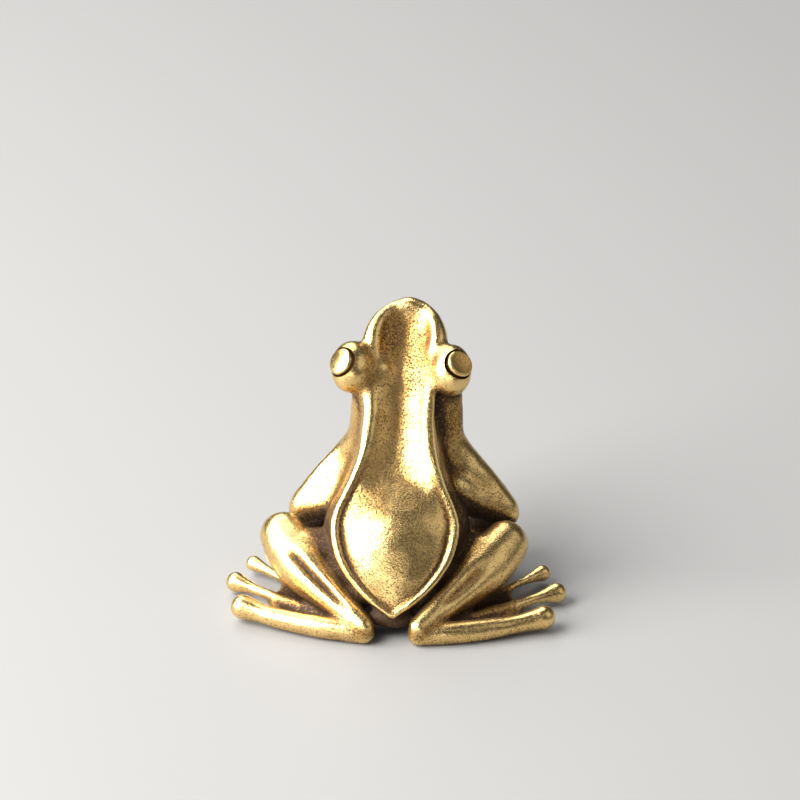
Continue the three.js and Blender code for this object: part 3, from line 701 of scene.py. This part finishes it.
castMesh = cutSockets(castMesh)
eyeMeshes = {sideName: meshOf(sideName + "_eye", makeEye(side)) for sideName, side in sides.items()}
print("sockets cut", len(castMesh.vertices), "points")


# Hollows, crests and painted shade, kept on the vertices for the patina, the painted shade and the polish
wearAndShade = {
    "rays": 14, "reach": 5.0, "lift": 0.03, "settle": 8, "fine": 6, "broad": 60,
    "skin": 0.25,  # how near a part's surface counts as on it
    "under": (-0.3, -1.1), "underTop": {1: (0.36, 0.46), -1: (0.34, 0.42)},  # painted shade on the flank below the fold
    "groove": (0.3, 0.8), "bead": (0.2, 0.75, 0.4, 0.5),  # width, weight and where it ends
    # the lines where parts meet: patina in the creases, and painted shade under the lids, at the right
    # shoulder and over the whole rump
    "lines": [("right_foreleg", "body", 0.22, 0.8), ("left_foreleg", "body", 0.2, 0.2),
              ("right_hind_leg", "body", 0.5, 0.9), ("left_hind_leg", "body", 0.5, 0.9),
              ("right_hind_foot", "right_hind_leg", 0.3, 0.6), ("left_hind_foot", "left_hind_leg", 0.3, 0.6),
              ("left_lid", "body", 0.2, 0.5), ("right_lid", "body", 0.2, 0.3),
              ("left_brow", "left_lid", 0.3, 0.8), ("left_lid", "left_foreleg", 0.7, 0.5),
              ("right_lid", "right_foreleg", 0.9, 0.8), ("rump", "rump", 0.3, 1.3)],
    "legSkin": 0.3, "legWall": (0.76, 0.98), "haunch": (1.04, 1.16, 0.7),  # painted shade on the leg walls and round the haunch: half widths, then its end
    "armTilt": 28, "armEdge": (-0.1, 0.5), "armFoot": (3.0, 4.5),  # painted shade on the arms, below a slanting line
    "armShadeLine": {1: {"at": 5.9, "height": -0.05, "fall": 0.44, "weight": 1.0},
                 -1: {"at": 6.0, "height": -0.5, "fall": 0.69, "weight": 0.45}},
    # painted shade at the top of the right arm, under its lid
    "rightShoulderShade": (13.0, 15.5, 0.75), "eyeDarkening": {1: 0.45, -1: 0.0},
    "shadePatches": [  # patches of painted shade that dim highlights: from and to along the back, from and to across it, weight
        ((0.66, 0.72, 0.79, 0.83), (0.2, 0.8, 2.4, 2.9), 0.4),
        ((0.78, 0.82, 0.93, 0.95), (-2.3, -1.8, -0.4, 0.3), 0.45),
        ((0.79, 0.82, 0.87, 0.89), (0.5, 0.9, 2.2, 2.6), 0.25),
        ((0.27, 0.31, 0.37, 0.41), (-4.5, -3.8, -1.2, -0.2), 0.42),
        ((0.5, 0.55, 0.7, 0.74), (-4.2, -3.7, -2.9, -2.6), 0.2),
    ],
}


def legWallShade(points, away):  # painted shade on the inner wall of each leg, turned to the body, and round the haunch
    held = np.zeros(len(points))
    shares = np.linspace(0, 1, 60)
    start, full, end = wearAndShade["haunch"]
    for sideName, side in sides.items():
        line, width = legLine(side), eased(legShape["width"])
        tree = treeOf([line(share) for share in shares])
        for j in np.nonzero(away[sideName + "_hind_leg"] < wearAndShade["legSkin"])[0]:
            spot = Vector(points[j]) - frogShift
            spot.x *= side
            middle, i, _ = tree.find(spot)
            half = float(width(shares[i]))
            held[j] = smooth(-(spot - middle).dot(legShape["face"]) / half, *wearAndShade["legWall"])
            if shares[i] < end:
                held[j] = max(held[j], smooth((spot - middle).length / half, start, full))
    return held


def paintedArmShade(points, away):  # painted shade on the underside of each arm
    held = np.zeros(len(points))
    tilt = math.radians(wearAndShade["armTilt"])
    height = (points[:, 2] - 10) * math.cos(tilt) + points[:, 1] * math.sin(tilt)
    for sideName, side in sides.items():
        spot = wearAndShade["armShadeLine"][side]
        out = side * points[:, 0]
        edge = spot["height"] - spot["fall"] * (out - spot["at"])
        near = np.minimum(away[sideName + "_foreleg"], away[sideName + "_breast"])
        mask = smooth(edge - height, *wearAndShade["armEdge"]) * fade(near, wearAndShade["skin"]) * (out > 0)
        held = np.maximum(held, spot["weight"] * mask * smooth(points[:, 2], *wearAndShade["armFoot"]))
    return held


def patinaAndShadeSpots(points):  # patina and painted shade: painted shade on the flank under the fold, and patina with painted shade along the lines between parts
    away = {name: distanceTo(bm, points) for name, bm in parts.items()}
    fromRump = points - np.array(frogShift + trunkShape["rump"])
    _, ahead, dorsal = backFrame(0.3)
    over = fromRump @ np.array(dorsal)
    share = fromRump @ np.array(ahead) / (trunkShape["backLength"] + trunkShape["headLength"])
    shares = np.linspace(0, 1, 200)
    stations = [lifted(at) for at in shares]
    ridge, _, _, fold, reach = (np.array([float(run(at)) for at in shares]) for run in trunkRuns[:5])
    outside = np.abs(points[:, 0]) - np.interp(share, stations, ridge)
    # painted shade on the flank below the fold
    held = smooth(over, *wearAndShade["under"]) * smooth(outside, 0, 0.3)
    held *= fade(away["body"], wearAndShade["skin"])
    for side in sides.values():
        ends = 1 - smooth(share, *wearAndShade["underTop"][side])
        held *= np.where(side * points[:, 0] > 0, ends, 1)
    # the lines where parts meet: patina in the creases, partly painted shade
    for first, second, width, weight in wearAndShade["lines"]:
        held = np.maximum(held, weight * fade(np.maximum(away[first], away[second]), width))
    grooves = treeOf([spot for side in sides.values() for spot in legGroove(side)])
    near = np.array([grooves.find(Vector(spot))[2] for spot in points])
    width, weight = wearAndShade["groove"]
    held = np.maximum(held, weight * fade(near, width))
    held = np.maximum(held, np.maximum(legWallShade(points, away), paintedArmShade(points, away)))
    upper = smooth(over, -4, -3)
    # patches of painted shade that dim highlights on the upper surfaces
    for along, across, weight in wearAndShade["shadePatches"]:
        shadePatch = smooth(share, *along[:2]) * (1 - smooth(share, *along[2:]))
        shadePatch = shadePatch * smooth(points[:, 0], *across[:2]) * (1 - smooth(points[:, 0], *across[2:]))
        held = np.maximum(held, weight * shadePatch * upper)
    # painted shade at the top of the right arm, under its lid
    start, full, weight = wearAndShade["rightShoulderShade"]
    onArm = fade(away["right_foreleg"], wearAndShade["skin"])
    held = np.maximum(held, weight * onArm * smooth(points[:, 2], start, full))
    # each eye's disc painted darker by its weight, the right one only
    for side in sides.values():
        centre = np.array(eyeCentre(side) + eyeAxis(side) * eyeTop + frogShift)
        onEye = np.linalg.norm(points - centre, axis=1) < eyeShape["radius"]
        held = np.where(onEye, np.maximum(held, wearAndShade["eyeDarkening"][side]), held)
    inner = np.interp(share, stations, ridge ** 2 / (ridge + reach * fold))
    width, weight, low, high = wearAndShade["bead"]
    onTop = smooth(over, -0.6, -0.3) * (1 - smooth(share, low, high))
    return np.maximum(held, weight * fade(np.abs(points[:, 0]) - inner, width) * onTop)


def hemisphere(count, offset):
    golden = math.pi * (3 - math.sqrt(5))
    rays = []
    for i in range(count):
        r = math.sqrt((i + 0.5) / count)
        a = golden * i + offset
        rays.append((r * math.cos(a), r * math.sin(a), math.sqrt(1 - r * r)))
    return rays


def writeWearAndShade(mesh, tree):
    points, normals = vertexArray(mesh), normalArray(mesh)
    mean = neighbourMean(mesh)
    fans = [hemisphere(wearAndShade["rays"], i * 0.7) for i in range(9)]
    hollow = np.zeros(len(points))
    for i, (spot, normal) in enumerate(zip(points, normals)):
        up = Vector(normal)
        turn = upward.rotation_difference(up).to_matrix()
        start = Vector(spot) + up * wearAndShade["lift"]
        for ray in fans[i % len(fans)]:
            hit = tree.ray_cast(start, turn @ Vector(ray), wearAndShade["reach"])[3]
            if hit is not None:
                hollow[i] += 1 - hit / wearAndShade["reach"]
    hollow /= wearAndShade["rays"]
    for _ in range(rounds(wearAndShade["settle"])):
        hollow = 0.5 * (hollow + mean(hollow))
    # the second layer holds patina and painted shade
    layers = {"hollow": hollow, "patinaShade": patinaAndShadeSpots(points)}
    soft = points.copy()
    for count, name in ((wearAndShade["fine"], "fineCrest"), (wearAndShade["broad"], "broadCrest")):
        for _ in range(rounds(count)):
            soft = 0.5 * (soft + mean(soft))
        layers[name] = np.einsum("ij,ij->i", points - soft, normals)
    for name, values in layers.items():
        mesh.attributes.new(name, "FLOAT", "POINT").data.foreach_set("value", values.astype(np.float32))
        print(name, np.round(np.percentile(values, (1, 10, 50, 90, 99)), 4))


everything = bmesh.new()
for mesh in (castMesh, *eyeMeshes.values()):
    everything.from_mesh(mesh)
frogTree = BVHTree.FromBMesh(everything)
for mesh in (castMesh, *eyeMeshes.values()):
    writeWearAndShade(mesh, frogTree)
print("wear written")


# Pieces: the casting split where its parts meet
def faceOwners(mesh):  # the part that each face of the casting belongs to
    mean = neighbourMean(mesh)
    points = vertexArray(mesh)
    reach = {name: distanceTo(bm, points) for name, bm in parts.items()}
    for swell in [name for name in reach if name.endswith(("_lid", "_brow", "rump", "tail"))]:
        reach["body"] = np.minimum(reach["body"], reach.pop(swell))
    for sideName in sides:
        limbName = sideName + "_foreleg"
        reach[limbName] = np.minimum(reach[limbName], reach.pop(sideName + "_breast"))
    names = list(reach)
    table = np.stack([reach[name] for name in names], axis=1)
    for _ in range(4):
        table = 0.5 * (table + mean(table))
    owner = [names[table[list(face.vertices)].mean(axis=0).argmin()] for face in mesh.polygons]
    return names, owner


def keepLargest(bm):
    left = set(bm.faces)
    islands = []
    while left:
        island, edge = set(), [left.pop()]
        while edge:
            face = edge.pop()
            island.add(face)
            for near in (f for e in face.edges for f in e.link_faces):
                if near in left:
                    left.discard(near)
                    edge.append(near)
        islands.append(island)
    islands.sort(key=len)
    strays = [face for island in islands[:-1] for face in island]
    bmesh.ops.delete(bm, geom=strays, context="FACES")
    return len(strays)


def splitPieces(mesh):
    names, owner = faceOwners(mesh)
    made = {}
    for name in names:
        bm = bmesh.new()
        bm.from_mesh(mesh)
        bmesh.ops.delete(bm, geom=[f for f in bm.faces if owner[f.index] != name], context="FACES")
        strays = keepLargest(bm)
        bmesh.ops.holes_fill(bm, edges=[e for e in bm.edges if e.is_boundary])
        bmesh.ops.triangulate(bm, faces=[f for f in bm.faces if len(f.verts) > 4])
        bmesh.ops.scale(bm, vec=(mm, mm, mm), verts=bm.verts)
        made[name] = meshOf(name, bm)
        print(name, len(bm.faces), "faces,", strays, "stray")
    return made


pieceMeshes = splitPieces(castMesh)
for sideName, mesh in eyeMeshes.items():
    bm = bmesh.new()
    bm.from_mesh(mesh)
    bmesh.ops.scale(bm, vec=(mm, mm, mm), verts=bm.verts)
    pieceMeshes[sideName + "_eye"] = meshOf(sideName + "_eye", bm)
pieces = {}
for name, mesh in pieceMeshes.items():
    mesh.shade_smooth()
    mesh.set_sharp_from_angle(angle=math.radians(50))
    pieces[name] = linked(name + "_cast", mesh)
print("split into", len(pieces), "pieces")


# Brass, with a dark patina in the hollows, painted shade from the vertex mask, and polish on the crests
def newGroup(name, inputs, outputs):
    group = bpy.data.node_groups.new(name, "ShaderNodeTree")
    for socket, kind, value in inputs:
        made = group.interface.new_socket(socket, in_out="INPUT", socket_type=kind)
        made.default_value = value
    for socket, kind in outputs:
        group.interface.new_socket(socket, in_out="OUTPUT", socket_type=kind)
    return group, group.nodes.new("NodeGroupInput"), group.nodes.new("NodeGroupOutput")


def setSocket(tree, socket, value):
    if isinstance(value, bpy.types.NodeSocket):
        tree.links.new(value, socket)
    else:
        socket.default_value = value


def mathNode(tree, operation, *values):
    node = tree.nodes.new("ShaderNodeMath")
    node.operation = operation
    for socket, value in zip(node.inputs, values):
        setSocket(tree, socket, value)
    return node.outputs[0]


def stepNode(tree, value, low, high, toLow=0.0, toHigh=1.0):
    node = tree.nodes.new("ShaderNodeMapRange")
    node.interpolation_type = "SMOOTHSTEP"
    for socket, given in zip(("Value", "From Min", "From Max", "To Min", "To Max"),
                             (value, low, high, toLow, toHigh)):
        setSocket(tree, node.inputs[socket], given)
    return node.outputs["Result"]


def mixColour(tree, share, first, second):
    node = tree.nodes.new("ShaderNodeMix")
    node.data_type = "RGBA"
    setSocket(tree, node.inputs["Factor"], share)
    setSocket(tree, [s for s in node.inputs if s.name == "A" and s.type == "RGBA"][0], first)
    setSocket(tree, [s for s in node.inputs if s.name == "B" and s.type == "RGBA"][0], second)
    return [s for s in node.outputs if s.type == "RGBA"][0]


def noiseNode(tree, scale, detail, roughness):
    node = tree.nodes.new("ShaderNodeTexNoise")
    place = tree.nodes.new("ShaderNodeTexCoord")
    tree.links.new(place.outputs["Object"], node.inputs["Vector"])
    for socket, value in (("Scale", scale), ("Detail", detail), ("Roughness", roughness)):
        setSocket(tree, node.inputs[socket], value)
    return node.outputs["Fac"]


def heightNode(tree):  # height over the floor
    place = tree.nodes.new("ShaderNodeTexCoord")
    split = tree.nodes.new("ShaderNodeSeparateXYZ")
    tree.links.new(place.outputs["Object"], split.inputs["Vector"])
    return split.outputs["Z"]


def attributeNode(tree, name):
    node = tree.nodes.new("ShaderNodeAttribute")
    node.attribute_name = name
    return node.outputs["Fac"]


def makeBrassGroup():
    tree, given, put = newGroup(
        "agedBrass",
        [("Bright", "NodeSocketColor", (0.84, 0.585, 0.232, 1)),
         ("Warm", "NodeSocketColor", (0.4, 0.19, 0.032, 1)),
         ("PatinaAndShade", "NodeSocketColor", (0.04, 0.019, 0.007, 1)),
         ("TarnishAndShade", "NodeSocketFloat", 0.5), ("Speckle", "NodeSocketFloat", 0.5)],
        [("Color", "NodeSocketColor"), ("Roughness", "NodeSocketFloat"),
         ("Metallic", "NodeSocketFloat"), ("Height", "NodeSocketFloat")])
    cloud = noiseNode(tree, 420, 4, 0.6)
    grain = noiseNode(tree, 4200, 3, 0.65)
    pits = noiseNode(tree, 7600, 2, 0.55)
    hollow = attributeNode(tree, "hollow")
    patinaShade = attributeNode(tree, "patinaShade")
    fine = attributeNode(tree, "fineCrest")
    broad = attributeNode(tree, "broadCrest")
    # how deep in a hollow, how near the floor and how deep in painted shade, unevenly edged
    depth = mathNode(tree, "MULTIPLY_ADD", broad, -1.0, mathNode(tree, "MULTIPLY", hollow, 1.6))
    depth = mathNode(tree, "MULTIPLY_ADD", fine, -4.0, depth)
    # the vertex mask of patina and painted shade
    depth = mathNode(tree, "MULTIPLY_ADD", patinaShade, 0.6, depth)
    low = stepNode(tree, heightNode(tree), 0.0004, 0.0022, 0.3, 0.0)
    depth = mathNode(tree, "ADD", depth, low)
    ragged = mathNode(tree, "MULTIPLY_ADD", mathNode(tree, "SUBTRACT", grain, 0.5), 1.0, depth)
    patinaShadeCover = stepNode(tree, ragged, 0.42, 0.68)
    warm = stepNode(tree, mathNode(tree, "MULTIPLY_ADD", cloud, 0.5, depth), 0.08, 0.62)
    warm = mathNode(tree, "MULTIPLY", warm, given.outputs["TarnishAndShade"])
    speckle = stepNode(tree, mathNode(tree, "MULTIPLY_ADD", depth, 0.22, pits), 0.53, 0.63)
    speckle = mathNode(tree, "MULTIPLY", speckle, given.outputs["Speckle"])
    colour = mixColour(tree, warm, given.outputs["Bright"], given.outputs["Warm"])
    glint = stepNode(tree, noiseNode(tree, 5600, 2, 0.6), 0.56, 0.66, 0.0, 0.75)
    patinaShadeCover = mathNode(tree, "MULTIPLY", patinaShadeCover, mathNode(tree, "SUBTRACT", 1.0, glint))
    dark = mathNode(tree, "MAXIMUM", patinaShadeCover, speckle)
    # dark patina, and painted shade where the vertex mask holds it
    colour = mixColour(tree, dark, colour, given.outputs["PatinaAndShade"])
    tree.links.new(colour, put.inputs["Color"])
    gloss = mathNode(tree, "MULTIPLY_ADD", warm, 0.12, mathNode(tree, "MULTIPLY_ADD", grain, 0.16, 0.14))
    gloss = mathNode(tree, "MULTIPLY_ADD", dark, 0.35, gloss)
    tree.links.new(gloss, put.inputs["Roughness"])
    tree.links.new(mathNode(tree, "MULTIPLY_ADD", dark, -0.7, 1.0), put.inputs["Metallic"])
    height = mathNode(tree, "MULTIPLY_ADD", grain, 0.6, mathNode(tree, "MULTIPLY", pits, -0.5))
    tree.links.new(height, put.inputs["Height"])
    return tree


brassGroup = makeBrassGroup()


def makeBrass(name, values, bumpReach):
    material = bpy.data.materials.new(name)
    material.use_nodes = True
    tree = material.node_tree
    shader = tree.nodes["Principled BSDF"]
    group = tree.nodes.new("ShaderNodeGroup")
    group.node_tree = brassGroup
    for socket, value in values.items():
        group.inputs[socket].default_value = value
    shader.inputs["Specular IOR Level"].default_value = 0.3
    bump = tree.nodes.new("ShaderNodeBump")
    bump.inputs["Strength"].default_value = 0.85
    bump.inputs["Distance"].default_value = bumpReach
    tree.links.new(group.outputs["Height"], bump.inputs["Height"])
    tree.links.new(bump.outputs["Normal"], shader.inputs["Normal"])
    tree.links.new(group.outputs["Color"], shader.inputs["Base Color"])
    tree.links.new(group.outputs["Roughness"], shader.inputs["Roughness"])
    tree.links.new(group.outputs["Metallic"], shader.inputs["Metallic"])
    return material


brassLooks = {
    "body": makeBrass("bodyBrass", {"TarnishAndShade": 0.75, "Speckle": 0.95}, 0.00005),
    "eye": makeBrass("eyeBrass", {"TarnishAndShade": 0.6, "Speckle": 0.5}, 0.00003),
    "limb": makeBrass("limbBrass", {"TarnishAndShade": 0.75, "Speckle": 0.85}, 0.00005),
}
for name, piece in pieces.items():
    kind = "body" if name == "body" else "eye" if name.endswith("_eye") else "limb"
    piece.data.materials.clear()
    piece.data.materials.append(brassLooks[kind])
    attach(piece, "root")
    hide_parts(name)
print("brass on", len(pieces), "pieces")


# Pale floor, soft light and the camera
stageShape = {
    "floor": 8.0, "floorColour": (0.27, 0.266, 0.259, 1), "floorRoughness": 0.6,
    "sky": (0.5, 0.5, 0.52, 1), "skyLevel": 0.14,
}


def makeFloor():
    bm = bmesh.new()
    bmesh.ops.create_grid(bm, x_segments=1, y_segments=1, size=stageShape["floor"])
    floor = linked("floor", meshOf("floor", bm))
    material = bpy.data.materials.new("paleFloor")
    material.use_nodes = True
    shader = material.node_tree.nodes["Principled BSDF"]
    shader.inputs["Base Color"].default_value = stageShape["floorColour"]
    shader.inputs["Roughness"].default_value = stageShape["floorRoughness"]
    floor.data.materials.append(material)


def makeSky():
    world = bpy.data.worlds.new("sky")
    bpy.context.scene.world = world
    world.use_nodes = True
    back = world.node_tree.nodes["Background"]
    back.inputs["Color"].default_value = stageShape["sky"]
    back.inputs["Strength"].default_value = stageShape["skyLevel"]


lampShape = {  # place, size and power of each soft box, aimed at the frog
    "key": {"place": (-0.34, -0.15, 0.28), "size": (0.42, 0.48), "power": 9.0},
    "front": {"place": (-0.1, -0.56, 0.11), "size": (0.4, 0.18), "power": 0.6},
    "fill": {"place": (0.42, -0.12, 0.34), "size": (0.45, 0.45), "power": 0.45},
    "top": {"place": (-0.19, 0.27, 0.42), "size": (0.5, 0.42), "power": 2.4},
}


def makeLamps():
    aim = Vector((0, 0, 0.012))
    for name, lamp in lampShape.items():
        light = bpy.data.lights.new(name, "AREA")
        light.shape = "RECTANGLE"
        light.size, light.size_y = lamp["size"]
        light.energy = lamp["power"]
        holder = bpy.data.objects.new(name, light)
        holder.location = lamp["place"]
        holder.rotation_mode = "QUATERNION"
        holder.rotation_quaternion = (aim - Vector(lamp["place"])).to_track_quat("-Z", "Y")
        bpy.context.scene.collection.objects.link(holder)


cameraShape = {
    "azimuth": 2.5, "elevation": 28, "roll": 0.7, "target": Vector((0, -0.00005, 0.010)), "distance": 0.33,
    "lens": 165.9, "sensor": 36, "frame": 800, "targetPixel": (398, 490.5),
}


def makeCamera():
    data = bpy.data.cameras.new("camera")
    data.lens, data.sensor_width = cameraShape["lens"], cameraShape["sensor"]
    data.clip_start, data.clip_end = 0.01, 50
    camera = bpy.data.objects.new("camera", data)
    azimuth, elevation = (math.radians(cameraShape[name]) for name in ("azimuth", "elevation"))
    back = Vector((math.sin(azimuth) * math.cos(elevation), -math.cos(azimuth) * math.cos(elevation),
                   math.sin(elevation)))
    level = (-back).to_track_quat("-Z", "Y")
    level = level @ Quaternion((0, 0, 1), math.radians(cameraShape["roll"]))
    middle = cameraShape["frame"] / 2
    pixel = cameraShape["sensor"] / cameraShape["lens"] / cameraShape["frame"]
    across, down = (spot - middle for spot in cameraShape["targetPixel"])
    aim = Vector((across * pixel, -down * pixel, -1))
    camera.rotation_mode = "QUATERNION"
    camera.rotation_quaternion = level @ aim.rotation_difference(Vector((0, 0, -1)))
    camera.location = cameraShape["target"] + back * cameraShape["distance"]
    bpy.context.scene.collection.objects.link(camera)
    bpy.context.scene.camera = camera


makeFloor()
makeSky()
makeLamps()
makeCamera()
bpy.context.scene.view_settings.view_transform = "Standard"
print("stage set")
